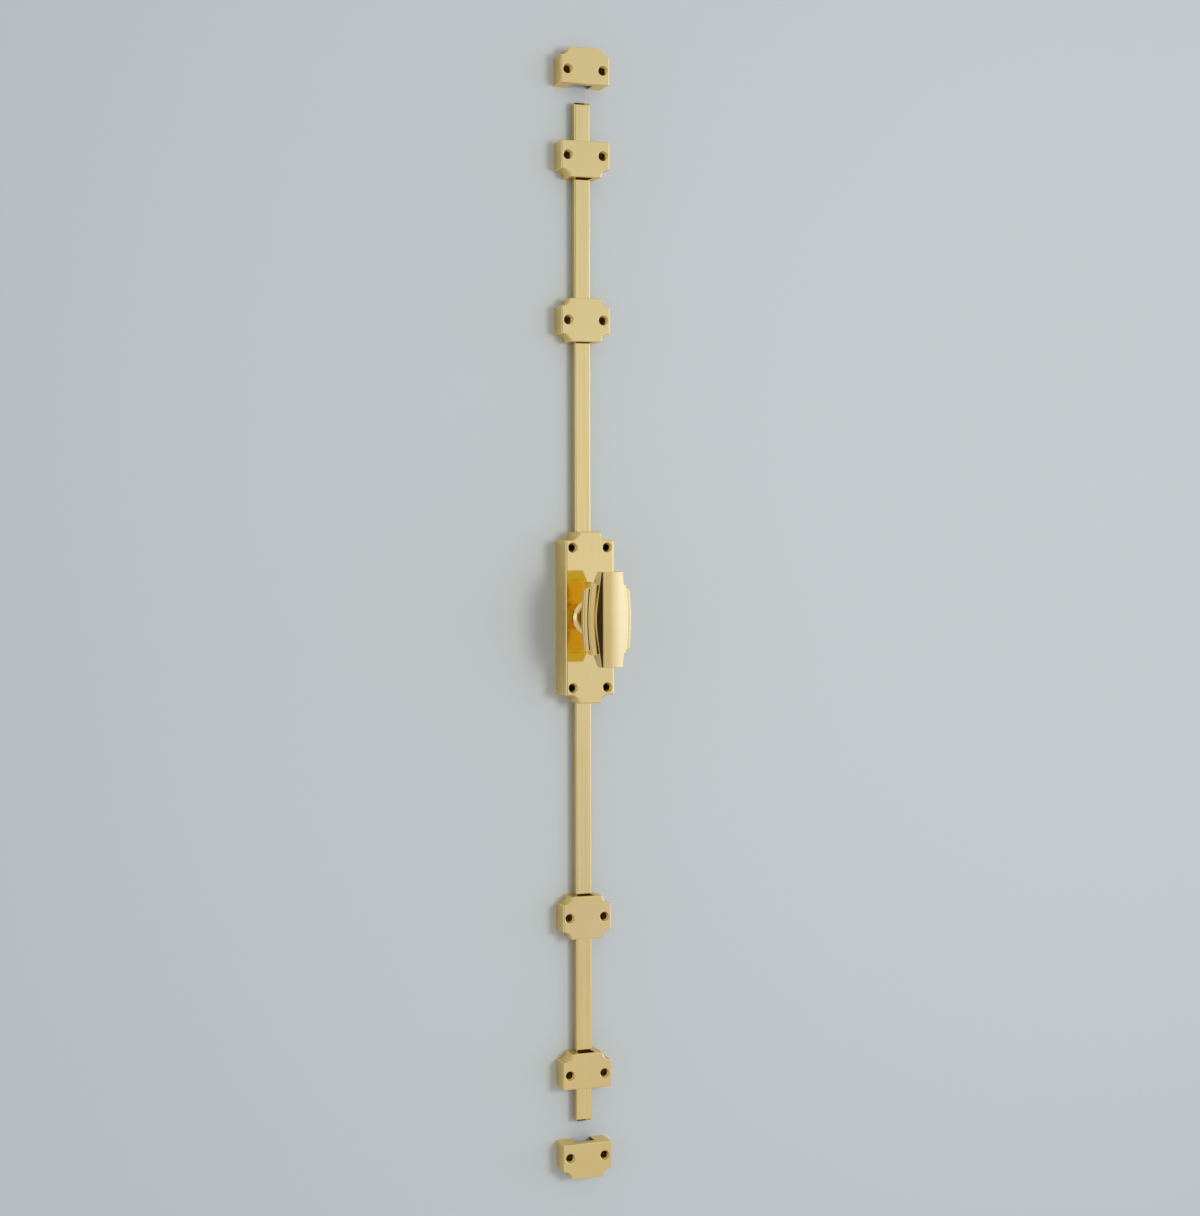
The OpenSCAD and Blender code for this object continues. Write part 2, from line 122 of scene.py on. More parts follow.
# Neck and collar
BORE_R = 11.9 * MM
SPIGOT_PLAY = 0.1 * MM
NECK_R = 9.4 * MM
NECK_PLAY = 0.05 * MM
NECK_SUNK = 1.0 * MM
JOURNAL_SHOW = 0.4 * MM
JOURNAL_STEP = 0.8 * MM
WAIST_R = 7.6 * MM
WAIST_RUN = 9.0 * MM
FLARE_R = 10.0 * MM
COLLAR_WALL = 0.7 * MM
SKIRT_LOW = 36
SKIRT_HIGH = 60
LIP_R = 0.35 * MM
GROOVE_R = 0.5 * MM

# Grip: the barrel and its two steps
BARREL_HALF_W = 12.15 * MM
BARREL_DRAW = 3.5 * MM
BARREL_WAIST = 10.0 * MM
BARREL_CROWN_R = 26.0 * MM
INNER_CROWN_R = 74.0 * MM
OUTER_CROWN_R = 250.0 * MM
STEP_W = 3.7 * MM
INNER_STEP_W = 4.0 * MM
INNER_STEP_HALF = 27.2 * MM
OUTER_STEP_HALF = 24.1 * MM
OUTER_STEP_T = 4.2 * MM
STEP_RISE = 2.2 * MM
TAIL_RUN = 7.5 * MM
TAIL_BEVEL = 5.4 * MM
GRIP_EDGE = 0.4 * MM
STEP_EDGE = 1.0 * MM
STEP_CORNER = 3.0 * MM
LAYER = 0.05 * MM

# Steps of curves: outlines and edges, round pieces and holes, the rods' lead-in, and the grip
CORNER_STEPS = 8
COVE_STEPS = 16
EDGE_STEPS = 6
BACK_STEPS = 3
ROOF_ROW = BACK_STEPS + 1
HOLE_STEPS = 40
TURNED_STEPS = 96
RIM_STEPS = 6
SKIRT_STEPS = 12
LIP_STEPS = 10
STEM_STEPS = 39
LEAD_STEPS = 8
BARREL_STEPS = 60
BARREL_SECTION_STEPS = (12, 6, 4)
BOW_STEPS = 40
BOW_CORNER_STEPS = 10
STEP_EDGE_STEPS = 8
ACROSS_STEPS = 24

# Camera: place, turn of its axis from square on, and lens; the photograph's frame is shifted to the right
CAMERA_PLACE = (-0.5722, -1.3884, 0.0575)
CAMERA_YAW = 17.0
CAMERA_PITCH = -1.91
CAMERA_ROLL = -0.32
CAMERA_LENS = 56.53
CAMERA_SENSOR = 36
CAMERA_SHIFT = 0.1657

# Patch axes to the frame's: a front view, and a bar that runs up the door
FRONT = np.array(((1, 0, 0), (0, 0, -1), (0, 1, 0)))
UPRIGHT = np.array(((1, 0, 0), (0, -1, 0), (0, 0, 1)))
HALF_TURN = np.diag((-1, 1, -1))

# Meshing: points closer than WELD are one point, and a face under LEAST_AREA is left out
WELD = 3.7e-8
LEAST_AREA = 1e-13
INSIDE_EDGES = 1
CUT_TOLERANCE = 1e-6


# Curves: points and normals in a plane

def arc(centre, radius, start, stop, steps=CORNER_STEPS, inward=False):
    """Points on a circle between two angles in degrees; the normals point out, or in for a cove."""
    angle = np.radians(np.linspace(start, stop, steps + 1))
    way = np.column_stack((np.cos(angle), np.sin(angle)))
    return np.array(centre) + radius * way, -way if inward else way


def line(start, stop, normal):
    """Two points with one normal."""
    return np.array((start, stop)), np.array((normal, normal), float)


def upright(depths):
    """Profile of an upright wall, with a row at each of the depths."""
    return np.column_stack((np.zeros(len(depths)), depths)), np.tile((1.0, 0.0), (len(depths), 1))


def joined(*curves):
    """Curves one after the other."""
    points, normals = zip(*curves)
    return np.concatenate(points), np.concatenate(normals)


def mirrored(curve, signs, reverse=False):
    """A curve with the signs of its coordinates changed, run backwards if asked."""
    step = -1 if reverse else 1
    return curve[0][::step] * signs, curve[1][::step] * signs


def offset(curve, out):
    """The loop that lies a distance out from a curve along its normals."""
    return curve[0] + out * curve[1]


def coved_quarter(half_w, half_h, half_tab, cove, corner):
    """Right-hand upper quarter of a coved outline, from the side to the top: a rounded shoulder, the cove
    about a point on the top edge's line, and a corner that touches both the cove and the top edge."""
    middle = half_tab + cove
    tip = middle - np.sqrt(cove ** 2 + 2 * cove * corner)
    meet = np.degrees(np.arctan2(-corner, tip - middle))
    shoulder = half_h - cove - corner
    return joined(
        arc((half_w - corner, shoulder), corner, 0, 90),
        arc((middle, half_h), cove, -90, meet, COVE_STEPS, inward=True),
        arc((tip, half_h - corner), corner, meet + 180, 90),
    )


def square_quarter(half_w, half_h, corner):
    """Right-hand upper quarter of a plain outline: one rounded corner."""
    return arc((half_w - corner, half_h - corner), corner, 0, 90)


def right_side(upper, lower):
    """Right-hand half of an outline from its upper quarter and its lower one, both given as upper ones."""
    return joined(mirrored(lower, (1, -1), reverse=True), upper)


def whole(right):
    """An outline from its right-hand half."""
    return joined(right, mirrored(right, (-1, 1), reverse=True))


def edge_profile(back, front, back_round, front_round, depths=()):
    """Side of a piece as distance out and depth: a small rounding at the back, the wall with rows at the
    given depths, and a rounding at the front."""
    return joined(
        arc((-back_round, back + back_round), back_round, -90, 0, BACK_STEPS),
        upright(depths),
        arc((-front_round, front - front_round), front_round, 0, 90, EDGE_STEPS),
    )


def split_at_roof(profile):
    """The points of a profile up to the row at a groove's roof, and the profile from that row on."""
    points, normals = profile
    return points[:ROOF_ROW + 1], (points[ROOF_ROW:], normals[ROOF_ROW:])


def mouth(half_groove, v, way):
    """End of a path at the mouth of a groove, on the straight edge at a height that faces up or down."""
    return np.array(((half_groove, v),)), np.array(((0.0, way),))


def beside_groove(upper, lower, half_groove, half_h):
    """Path round the foot on the right of a groove, from its lower mouth to its upper one."""
    return joined(mouth(half_groove, -half_h, -1), right_side(upper, lower), mouth(half_groove, half_h, 1))


def lintel(half_groove, v, way):
    """Path of the wall over the mouth of a groove."""
    return line((half_groove, v), (-half_groove, v), (0, way))


def both_lintels(half_groove, half_h):
    """Paths of the walls over the lower and the upper mouth of a through groove."""
    return [lintel(half_groove, way * half_h, way) for way in (-1, 1)]


# Patches: points, normals and faces

def grid(points, normals, closed=False):
    """Quads between neighbouring points of a grid; closed joins the last column to the first."""
    rows, columns = points.shape[:2]
    index = np.arange(rows * columns).reshape(rows, columns)
    beside = np.roll(index, -1, axis=1)
    quads = np.stack((index[:-1], beside[:-1], beside[1:], index[1:]), axis=-1)
    if not closed:
        quads = quads[:, :-1]
    return points.reshape(-1, 3), normals.reshape(-1, 3), quads.reshape(-1, 4)


def sweep(path, profile, closed=False):
    """A profile of distance out and depth carried along a path, out along the path's own normals."""
    out, depth = profile[0].T
    lean, face = profile[1].T
    flat_points = path[0][None] + out[:, None, None] * path[1][None]
    flat_normals = lean[:, None, None] * path[1][None]
    shape = flat_points.shape[:2] + (1,)
    points = np.concatenate((flat_points, np.broadcast_to(depth[:, None, None], shape)), axis=-1)
    normals = np.concatenate((flat_normals, np.broadcast_to(face[:, None, None], shape)), axis=-1)
    return grid(points, normals, closed)


def side_patches(feet, profile, lintels, over):
    """The sides of a piece in two lists of patches: its walls up to the front edge, and the edge's rounding.
    The whole profile runs along the paths round the feet, and the part over the roof along the lintels."""
    walls, edges = [], []
    for path, (points, normals) in [(path, profile) for path in feet] + [(path, over) for path in lintels]:
        walls.append(sweep(path, (points[:-EDGE_STEPS], normals[:-EDGE_STEPS])))
        edges.append(sweep(path, (points[-EDGE_STEPS - 1:], normals[-EDGE_STEPS - 1:])))
    return walls, edges


def circle(centre, steps=HOLE_STEPS):
    """A path that stays at its centre while its normal turns once round, so that out is a radius."""
    way = arc((0, 0), 1, 0, 360, steps)[1][:-1]
    return np.tile(np.array(centre, float), (steps, 1)), way


def ring(centre, radius, steps=HOLE_STEPS):
    """A round loop."""
    return offset(circle(centre, steps), radius)


def turned(centre, profile, steps=HOLE_STEPS):
    """A profile of radius and depth turned about an axis."""
    return sweep(circle(centre, steps), profile, closed=True)


def following(counts):
    """Index of the point after each one, in closed loops of these lengths that lie end to end."""
    last = np.cumsum(counts) - 1
    after = np.arange(1, last[-1] + 2)
    after[last] = last - counts + 1
    return after


def flat(loops, depth, facing):
    """Flat face at one depth, inside the first loop and outside the others, which are round holes. It is cut
    into triangles. One with all its corners on the rim of the same hole lies in that hole and is left out."""
    corners = np.concatenate(loops)
    count = np.array([len(loop) for loop in loops])
    edges = np.column_stack((np.arange(len(corners)), following(count)))
    found = delaunay_2d_cdt((corners / MM).tolist(), edges.tolist(), [], INSIDE_EDGES, CUT_TOLERANCE)
    source = np.array([origin[0] for origin in found[3]])
    faces = source[np.array(found[2])]
    owner = np.repeat(np.arange(len(loops)), count)[faces]
    in_hole = (owner == owner[:, :1]).all(axis=1) & (owner[:, 0] > 0)
    points = np.column_stack((corners, np.full(len(corners), depth)))
    normals = np.tile((0.0, 0.0, facing), (len(corners), 1))
    return points, normals, faces[~in_hole]


def drill(centres, front, back, layers):
    """Screw holes, each turned about its axis: adds their buffed rims, 90 degree countersinks and straight
    walls to the three layers, and gives the loops at which the rims leave the flat face."""
    floor = front - (SINK_R - HOLE_R)
    rim = arc((RIM_R, front - RIM_ROUND), RIM_ROUND, 90, 90 + SINK_SLOPE, RIM_STEPS)
    cone = line(rim[0][-1], (HOLE_R, floor), (-1, 1))
    wall = line((HOLE_R, floor), (HOLE_R, back), (-1, 0))
    for centre in centres:
        for layer, profile in zip(layers, (rim, cone, wall)):
            layer.append(turned(centre, profile))
    return [ring(centre, RIM_R) for centre in centres]


def groove(half_w, roof, low, high, rows, is_blind=False):
    """A groove in the back of a piece: two walls whose ends follow the rows of the outer wall's profile, a
    roof, and an end wall at the high end where the groove is blind."""
    depth = rows[:, 1]
    ends = np.column_stack((low, high))
    walls = [
        grid(
            np.stack((np.full(ends.shape, side * half_w), ends, np.column_stack((depth, depth))), axis=-1),
            np.tile((-side, 0.0, 0.0), ends.shape + (1,)),
        )
        for side in (-1, 1)
    ]
    across = np.array((-half_w, half_w))
    u, v = np.meshgrid(across, ends[-1])
    top = np.stack((u, v, np.full(u.shape, roof)), axis=-1)
    patches = walls + [grid(top, np.tile((0.0, 0.0, -1.0), u.shape + (1,)))]
    if is_blind:
        u, w = np.meshgrid(across, depth)
        end = np.stack((u, np.broadcast_to(ends[:, 1:], u.shape), w), axis=-1)
        patches.append(grid(end, np.tile((0.0, -1.0, 0.0), u.shape + (1,))))
    return patches


def oriented(points, normals, faces):
    """Faces turned so that each one agrees with the surface's normals, without those that have no area."""
    corner = points[faces]
    own = np.cross(corner, np.roll(corner, -1, axis=1)).sum(axis=1)
    agree = (own * normals[faces].mean(axis=1)).sum(axis=1) > 0
    has_area = np.linalg.norm(own, axis=1) > LEAST_AREA
    return np.where(agree[:, None], faces, faces[:, ::-1])[has_area]


def build(name, node, layers, axes=FRONT, shift=(0.0, 0.0, 0.0)):
    """Joins the patches of a piece's finishes into one mesh that stands for a CAD node. Points that coincide
    become one point, a face leaves out a corner that repeats its next one, and each face corner keeps its
    patch's own normal."""
    placed = [
        (points @ axes.T + np.array(shift), normals @ axes.T, faces)
        for patches in layers.values()
        for points, normals, faces in patches
    ]
    finish_of = np.repeat(np.arange(len(layers)), [len(patches) for patches in layers.values()])
    start = np.cumsum([0] + [len(points) for points, _, _ in placed])
    faces = [oriented(*patch) + first for patch, first in zip(placed, start)]
    points = np.concatenate([points for points, _, _ in placed])
    normals = np.concatenate([normals for _, normals, _ in placed])
    _, keep, merged = np.unique(np.round(points / WELD), axis=0, return_index=True, return_inverse=True)
    corners = np.concatenate([part.ravel() for part in faces])
    sizes = np.concatenate([np.full(len(part), part.shape[1]) for part in faces])
    finish = np.repeat(finish_of, [len(part) for part in faces])
    vertex = merged.ravel()[corners]
    distinct = vertex != vertex[following(sizes)]
    sizes = np.add.reduceat(distinct.astype(int), np.cumsum(sizes) - sizes)
    corners = corners[distinct]
    mesh = bpy.data.meshes.new(name)
    mesh.vertices.add(len(keep))
    mesh.vertices.foreach_set("co", points[keep].ravel())
    mesh.loops.add(len(corners))
    mesh.loops.foreach_set("vertex_index", vertex[distinct].astype(np.int32))
    mesh.polygons.add(len(sizes))
    mesh.polygons.foreach_set("loop_start", (np.cumsum(sizes) - sizes).astype(np.int32))
    mesh.polygons.foreach_set("use_smooth", np.ones(len(sizes), bool))
    mesh.polygons.foreach_set("material_index", finish.astype(np.int32))
    mesh.update(calc_edges=True)
    unit = normals / np.linalg.norm(normals, axis=1, keepdims=True)
    mesh.normals_split_custom_set(unit[corners])
    for material in layers:
        mesh.materials.append(material)
    piece = bpy.data.objects.new(name, mesh)
    bpy.context.scene.collection.objects.link(piece)
    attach(piece, frame["nodes"][node]["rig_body"])
    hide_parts(node)


# Finishes, some of whose tones are painted shade

# A Mix node's inputs, which are its factor and its two sides, and its output, by the kind of value
MIX_SOCKETS = {"FLOAT": ((0, 2, 3), 0), "RGBA": ((0, 6, 7), 2)}

SMEARS_PER_CLOUD = 4
STROKE_HEIGHT = 0.02 * MM


def node_maker(tree):
    """A function that adds a node of one type, with its settings and inputs. An input is given by its place
    or by its name, and is linked where its value is a socket."""
    def feed(socket, value):
        """Links a socket to an input, or sets the input's own value."""
        if isinstance(value, bpy.types.NodeSocket):
            tree.links.new(value, socket)
        else:
            socket.default_value = value

    def make(kind, settings=None, places=None, **inputs):
        """Adds the node."""
        node = tree.nodes.new(kind)
        for name, value in (settings or {}).items():
            setattr(node, name, value)
        for place, value in (places or {}).items():
            feed(node.inputs[place], value)
        for name, value in inputs.items():
            feed(node.inputs[name.replace("_", " ")], value)
        return node

    return make


def cleared(owner):
    """The emptied node tree of a material or a world."""
    owner.use_nodes = True
    owner.node_tree.nodes.clear()
    return owner.node_tree


def work_out(make, operation, *values):
    """Result of a Math node."""
    return make("ShaderNodeMath", {"operation": operation}, dict(enumerate(values))).outputs[0]


def mixed(make, kind, factor, first, second, blend="MIX"):
    """Result of a Mix node for numbers or for colours."""
    places, result = MIX_SOCKETS[kind]
    settings = {"data_type": kind, "blend_type": blend}
    return make("ShaderNodeMix", settings, dict(zip(places, (factor, first, second)))).outputs[result]


def metal(name, deep, light, roughness, grain, lines, edge=(1.0, 1.0, 1.0), streaks=0.35):
    """A worked metal: two close tones in soft clouds and drawn lines, a roughness that drifts over the
    surface, a faint bump along the lines, and the tint that shows where the surface is seen edge on. The
    streaks' share says how far the lines, rather than the clouds, set the tone."""
    material = bpy.data.materials.new(name)
    make = node_maker(cleared(material))
    place = make("ShaderNodeTexCoord").outputs["Object"]
    clouds = make("ShaderNodeTexNoise", Vector=place, Scale=grain, Detail=3.0, Roughness=0.55)
    stretch = make("ShaderNodeMapping", Vector=place, Scale=lines)
    strokes = make("ShaderNodeTexNoise", Vector=stretch.outputs["Vector"], Scale=1.0, Detail=2.0)
    blend = mixed(make, "FLOAT", streaks, clouds.outputs["Fac"], strokes.outputs["Fac"])
    spread = make("ShaderNodeMapRange", Value=blend, From_Min=0.2, From_Max=0.8)
    tone = mixed(make, "RGBA", spread.outputs["Result"], (*deep, 1), (*light, 1))
    smears = make("ShaderNodeTexNoise", Vector=place, Scale=SMEARS_PER_CLOUD * grain,
                  Detail=4.0, Roughness=0.6)
    gloss = make("ShaderNodeMapRange", Value=smears.outputs["Fac"], From_Min=0.3, From_Max=0.7,
                 To_Min=roughness[0], To_Max=roughness[1])
    bump = make("ShaderNodeBump", Strength=0.06, Distance=STROKE_HEIGHT, Height=strokes.outputs["Fac"])
    shader = make("ShaderNodeBsdfPrincipled", Metallic=1.0, Roughness=gloss.outputs["Result"],
                  Base_Color=tone, Normal=bump.outputs["Normal"], Specular_Tint=(*edge, 1))
    output = make("ShaderNodeOutputMaterial", Surface=shader.outputs["BSDF"])
    output.is_active_output = True
    return material


ALONG_THE_BOLT = (700.0, 700.0, 30.0)
DRAWN_LINES = (800.0, 800.0, 6.0)
EVERY_WAY = (300.0, 300.0, 300.0)
ROUND_THE_AXIS = (200.0, 1500.0, 200.0)
WARM_EDGE = (1.0, 0.84, 0.86)
BRASS_DEEP = (0.90, 0.705, 0.255)
BRASS_LIGHT = (0.94, 0.775, 0.325)
BRASS_WORK = (22.0, ALONG_THE_BOLT, WARM_EDGE)
brass = metal("polished_brass", BRASS_DEEP, BRASS_LIGHT, (0.04, 0.09), *BRASS_WORK)
brushed_brass = metal("brushed_brass", BRASS_DEEP, BRASS_LIGHT, (0.32, 0.42), *BRASS_WORK)
drawn_brass = metal(
    "drawn_brass", (0.85, 0.66, 0.215), (0.99, 0.83, 0.365), (0.05, 0.11), 22.0, DRAWN_LINES, WARM_EDGE, 0.8)
# Painted shade: the backs of the grip's steps and of its barrel get deeper, more saturated amber tones than
# the polished brass. These stand in for the shade under the grip, and so show as amber in the case's polished
# face.
step_back_painted_shade = metal("step_back_painted_shade", (0.83, 0.585, 0.075), (0.88, 0.64, 0.11), (0.06, 0.12), *BRASS_WORK)
barrel_back_painted_shade = metal("barrel_back_painted_shade", (1.0, 0.69, 0.075), (1.0, 0.75, 0.11), (0.06, 0.12), *BRASS_WORK)
# Drilled finish: rougher than the polished brass, with a darker tone that is painted shade in the screw
# holes, their countersinks, the bore and on the backs that lie against the door.
drilled_brass_with_painted_shade = metal(
    "drilled_brass_with_painted_shade", (0.52, 0.35, 0.08), (0.68, 0.47, 0.13), (0.14, 0.24), 60.0, ROUND_THE_AXIS)
# Cast finish: rough, with a very dark tone that is painted shade in the grooves, in the case's cavity and on
# the backs that lie against the door.
cast_brass_with_painted_shade = metal("cast_brass_with_painted_shade", (0.16, 0.11, 0.04), (0.30, 0.21, 0.09), (0.52, 0.70), 90.0, EVERY_WAY)
bronze = metal("turned_bronze", (0.58, 0.36, 0.15), (0.66, 0.44, 0.22), (0.22, 0.34), 40.0, ROUND_THE_AXIS)
steel = metal("machined_steel", (0.52, 0.53, 0.54), (0.62, 0.62, 0.63), (0.24, 0.36), 60.0, ALONG_THE_BOLT)


# Gearbox

def half_size(node):
    """Half width, half height, depth of the back and of the front of a CAD node, and its middle height."""
    low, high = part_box(node)
    return (high.x - low.x) / 2, (high.z - low.z) / 2, -high.y, -low.y, (high.z + low.z) / 2


def four(u, v):
    """The four points at the corners of a rectangle about the middle."""
    return [(i * u, j * v) for i in (-1, 1) for j in (-1, 1)]


CASE_HOLES = four(
    MOUNTS["gearbox_screws"]["dims"]["spacing_x_mm"] * MM / 2,
    MOUNTS["gearbox_screws"]["dims"]["spacing_y_mm"] * MM / 2,
)
CASE_FRONT = half_size("gearbox_case")[3]


def case_quarter(half_w, half_h):
    """Upper right-hand quarter of the outline that the case and its backplate share."""
    return coved_quarter(half_w, half_h, CASE_HALF_TAB, CASE_COVE, CASE_EDGE + CORNER_EXTRA)


def gearbox_case():
    """The case: its sides with a rounded front edge, countersunk holes at the corners, a bore for the neck,
    and a stepped cavity behind, open to a channel at each end for a rod."""
    half_w, half_h, back, front, _ = half_size("gearbox_case")
    quarter = case_quarter(half_w, half_h)
    right = beside_groove(quarter, quarter, GUIDE_GROOVE, half_h)
    left = mirrored(right, (-1, 1), reverse=True)
    profile = edge_profile(back, front, BACK_EDGE, CASE_EDGE, (CASE_ROOF,))
    feet, over = split_at_roof(profile)
    walls, patches = side_patches((right, left), profile, both_lintels(GUIDE_GROOVE, half_h), over)
    stop = np.full(len(feet), ARM_HALF_H)
    cast_with_painted_shade = groove(GUIDE_GROOVE, CASE_ROOF, stop, half_h + feet[:, 0], feet)
    cast_with_painted_shade += groove(GUIDE_GROOVE, CASE_ROOF, -half_h - feet[:, 0], -stop, feet)
    upper = joined(
        line((RACK_HALF_W, RACK_HALF_H), (ARM_HALF_W, RACK_HALF_H), (0, -1)),
        line((ARM_HALF_W, RACK_HALF_H), (ARM_HALF_W, ARM_HALF_H), (-1, 0)),
        line((ARM_HALF_W, ARM_HALF_H), (GUIDE_GROOVE, ARM_HALF_H), (0, -1)),
    )
    room = joined(
        mirrored(upper, (1, -1), reverse=True),
        line((RACK_HALF_W, -RACK_HALF_H), (RACK_HALF_W, RACK_HALF_H), (-1, 0)),
        upper,
    )
    corners = np.concatenate((room[0][::2], room[0][-1:]))
    wall = upright(np.append(feet[:, 1], CASE_INNER))
    cast_with_painted_shade += [sweep(room, wall), sweep(mirrored(room, (-1, 1), reverse=True), wall)]
    over_arm = split_at_roof(wall)[1]
    cast_with_painted_shade += [sweep(lintel(GUIDE_GROOVE, way * ARM_HALF_H, -way), over_arm) for way in (-1, 1)]
    bore = ring((0, 0), BORE_R)
    cast_with_painted_shade.append(flat([np.concatenate((corners, corners[::-1] * (-1, 1))), bore], CASE_INNER, -1))
    drilled_with_painted_shade = []
    rims = drill(CASE_HOLES, front, back, (patches, drilled_with_painted_shade, cast_with_painted_shade))
    drilled_with_painted_shade.append(turned((0, 0), line((BORE_R, front), (BORE_R, CASE_INNER), (-1, 0))))
    patches.append(flat([offset(joined(right, left), -CASE_EDGE), bore, *rims], front, 1))
    foot = np.concatenate((offset(right, -BACK_EDGE), corners[::-1]))
    for side in (-1, 1):
        holes = [ring(centre, HOLE_R) for centre in CASE_HOLES if centre[0] * side > 0]
        cast_with_painted_shade.append(flat([foot * (side, 1), *holes], back, -1))
    # The grooves, cavity, holes and backs take the darker cast and drilled tones, which are painted shade on
    # top of their rougher finish.
    layers = {brass: patches, brushed_brass: walls, drilled_brass_with_painted_shade: drilled_with_painted_shade, cast_brass_with_painted_shade: cast_with_painted_shade}
    build("case", "gearbox_case", layers)


def backplate():
    """The plate behind the case, with through holes at the corners and countersinks at the back for its
    screws."""
    half_w, half_h, back, front, _ = half_size("gearbox_backplate")
    quarter = case_quarter(half_w, half_h)
    outline = whole(right_side(quarter, quarter))
    small = four(SMALL_X, SMALL_Z)
    small_floor = back + SMALL_SINK_R - SMALL_HOLE_R
    wall = line((HOLE_R, back), (HOLE_R, front), (-1, 0))
    small_cone = line((SMALL_SINK_R, back), (SMALL_HOLE_R, small_floor), (-1, -1))
    small_wall = line((SMALL_HOLE_R, small_floor), (SMALL_HOLE_R, front), (-1, 0))
    patches = [sweep(outline, edge_profile(back, front, PLATE_EDGE, PLATE_EDGE), closed=True)]
    patches += [turned(centre, wall) for centre in CASE_HOLES]
    patches += [turned(centre, profile) for centre in small for profile in (small_cone, small_wall)]
    for depth, facing, small_r in ((back, -1, SMALL_SINK_R), (front, 1, SMALL_HOLE_R)):
        loops = [offset(outline, -PLATE_EDGE)]
        loops += [ring(centre, HOLE_R) for centre in CASE_HOLES]
        loops += [ring(centre, small_r) for centre in small]
        patches.append(flat(loops, depth, facing))
    build("backing_plate", "gearbox_backplate", {brass: patches})


def collar():
    """The collar, a closed profile turned about the spindle: a low wall, a convex skirt, a rounded lip, a
    groove inside it and a flat ring round the neck."""
    outer, _, back, front, _ = half_size("spindle_collar")
    bore = NECK_R + NECK_PLAY
    spigot = BORE_R - SPIGOT_PLAY
    wall_top = CASE_FRONT + COLLAR_WALL
    low, high = np.radians((SKIRT_LOW, SKIRT_HIGH))
    skirt_r = (front - wall_top - LIP_R * (1 - np.sin(high))) / (np.sin(high) - np.sin(low))
    middle = np.array((outer - skirt_r * np.cos(low), wall_top - skirt_r * np.sin(low)))
    skirt = arc(middle, skirt_r, SKIRT_LOW, SKIRT_HIGH, SKIRT_STEPS)
    lip = skirt[0][-1] - LIP_R * skirt[1][-1]
    groove_at = lip[0] - LIP_R - GROOVE_R
    profiles = [
        line((bore, back), (bore, lip[1]), (-1, 0)),
        line((bore, lip[1]), (groove_at - GROOVE_R, lip[1]), (0, 1)),
        arc((groove_at, lip[1]), GROOVE_R, 180, 360, LIP_STEPS, inward=True),
        joined(skirt, arc(lip, LIP_R, SKIRT_HIGH, 180, LIP_STEPS)),
        line((outer, CASE_FRONT), (outer, wall_top), (1, 0)),
        line((outer, CASE_FRONT), (spigot, CASE_FRONT), (0, -1)),
        line((spigot, CASE_FRONT), (spigot, back), (1, 0)),
        line((spigot, back), (bore, back), (0, -1)),
    ]
    patches = [turned((0, 0), profile, TURNED_STEPS) for profile in profiles]
    build("collar", "spindle_collar", {brass: patches})


def small_nodes():
    """The pieces inside the gearbox keep their CAD shapes."""
    finishes = {
        bronze: ("rear_bush", "thrust_washer"),
        steel: ("backplate_screws", "knob_grub_screw", "spindle", "pinion", "upper_rack", "lower_rack",
                "upper_rack_screws", "lower_rack_screws"),
    }
    for finish, names in finishes.items():
        for name in names:
            mesh = frame["nodes"][name].data
            mesh.materials.clear()
            mesh.materials.append(finish)


# Guides, keeps and rods

def guide_holes(node, turn, middle):
    """Places of a guide's two holes in its own axes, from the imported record."""
    mount = MOUNTS[node + "_screws"]
    u = mount["dims"]["spacing_x_mm"] * MM / 2
    v = turn * (mount["pos_m"][2] - middle)
    return [(-u, v), (u, v)]


def guide_quarter(half_w, half_h, coved):
    """Upper right-hand quarter of a guide's outline, coved or plain."""
    corner = GUIDE_EDGE + CORNER_EXTRA
    if coved:
        return coved_quarter(half_w, half_h, GUIDE_HALF_TAB, GUIDE_COVE, corner)
    return square_quarter(half_w, half_h, corner)


def guide(name, node, turn, coved_top):
    """A guide: two feet beside a through groove, its wall carried round each foot and over both mouths."""
    half_w, half_h, back, front, middle = half_size(node)
    upper = guide_quarter(half_w, half_h, coved_top)
    lower = guide_quarter(half_w, half_h, True)
    right = beside_groove(upper, lower, GUIDE_GROOVE, half_h)
    left = mirrored(right, (-1, 1), reverse=True)
    profile = edge_profile(back, front, BACK_EDGE, GUIDE_EDGE, (GUIDE_ROOF,))
    feet, over = split_at_roof(profile)
    walls, patches = side_patches((right, left), profile, both_lintels(GUIDE_GROOVE, half_h), over)
    cast_with_painted_shade = groove(GUIDE_GROOVE, GUIDE_ROOF, -half_h - feet[:, 0], half_h + feet[:, 0], feet)
    drilled_with_painted_shade = []
    holes = guide_holes(node, turn, middle)
    rims = drill(holes, front, back, (patches, drilled_with_painted_shade, drilled_with_painted_shade))
    patches.append(flat([offset(joined(right, left), -GUIDE_EDGE), *rims], front, 1))
    for part, centre in ((left, holes[0]), (right, holes[1])):
        drilled_with_painted_shade.append(flat([offset(part, -BACK_EDGE), ring(centre, HOLE_R)], back, -1))
    # The groove, holes and backs take the darker cast and drilled tones, which are painted shade on top of
    # their rougher finish.
    layers = {brass: patches, brushed_brass: walls, drilled_brass_with_painted_shade: drilled_with_painted_shade, cast_brass_with_painted_shade: cast_with_painted_shade}
    build(name, node, layers, FRONT if turn > 0 else HALF_TURN @ FRONT, (0, 0, middle))


